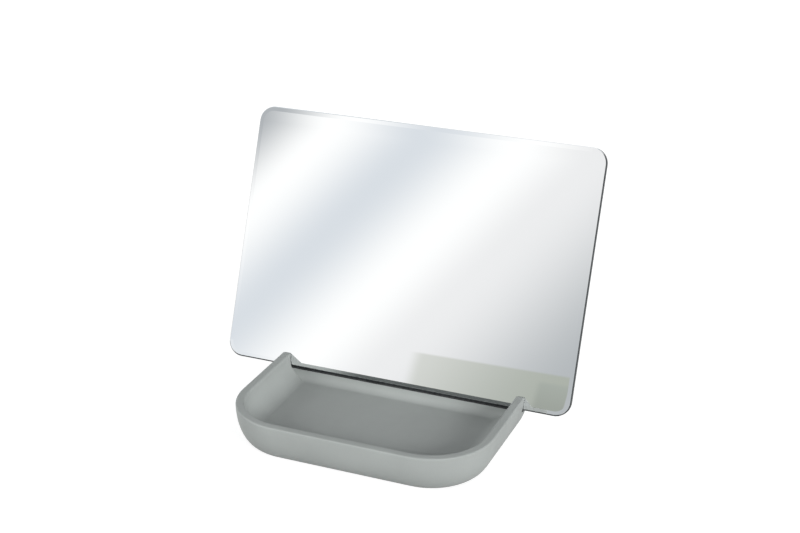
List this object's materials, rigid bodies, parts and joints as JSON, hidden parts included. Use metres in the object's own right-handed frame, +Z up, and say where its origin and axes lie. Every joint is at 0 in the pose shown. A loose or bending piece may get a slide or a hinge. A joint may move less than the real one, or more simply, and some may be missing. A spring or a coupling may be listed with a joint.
{
  "type": "vanity mirror with tray",
  "caption": "Rectangular mirror with rounded corners that leans back in the slot of a low grey jewellery tray and lifts out of it.",
  "frame": {"origin": "middle of the tray's resting face, on the table", "axes": "+X to the right and +Y to the back of a person in front of the mirror, +Z up"},
  "size_m": [0.19, 0.1276, 0.1391],
  "materials": {
    "tray_plastic": "satin, very fine grain",
    "cover_plastic": "fine spark-eroded texture",
    "black_rubber": "matt",
    "zinc_steel": "zinc plated sheet",
    "screw_steel": "plated",
    "clear_glass": "float glass with ground and polished edge",
    "silver_coat": "silvered",
    "backing_plastic": "grey safety backing sheet"
  },
  "bodies": {
    "tray": {"tray_shell": "tray_plastic", "slot_liner": "black_rubber", "ballast_plate": "zinc_steel", "base_cover": "cover_plastic", "cover_screws": "screw_steel", "anti_slip_pad": "black_rubber"},
    "mirror": {"mirror_glass": "clear_glass", "mirror_silver": "silver_coat", "mirror_backing": "backing_plastic"}
  },
  "joints": [
    {"name": "mirror_lift", "type": "slide", "parent": "tray", "child": "mirror", "axis": [0, 0.3665, 0.9304], "range_m": [0, 0.04]}
  ]
}
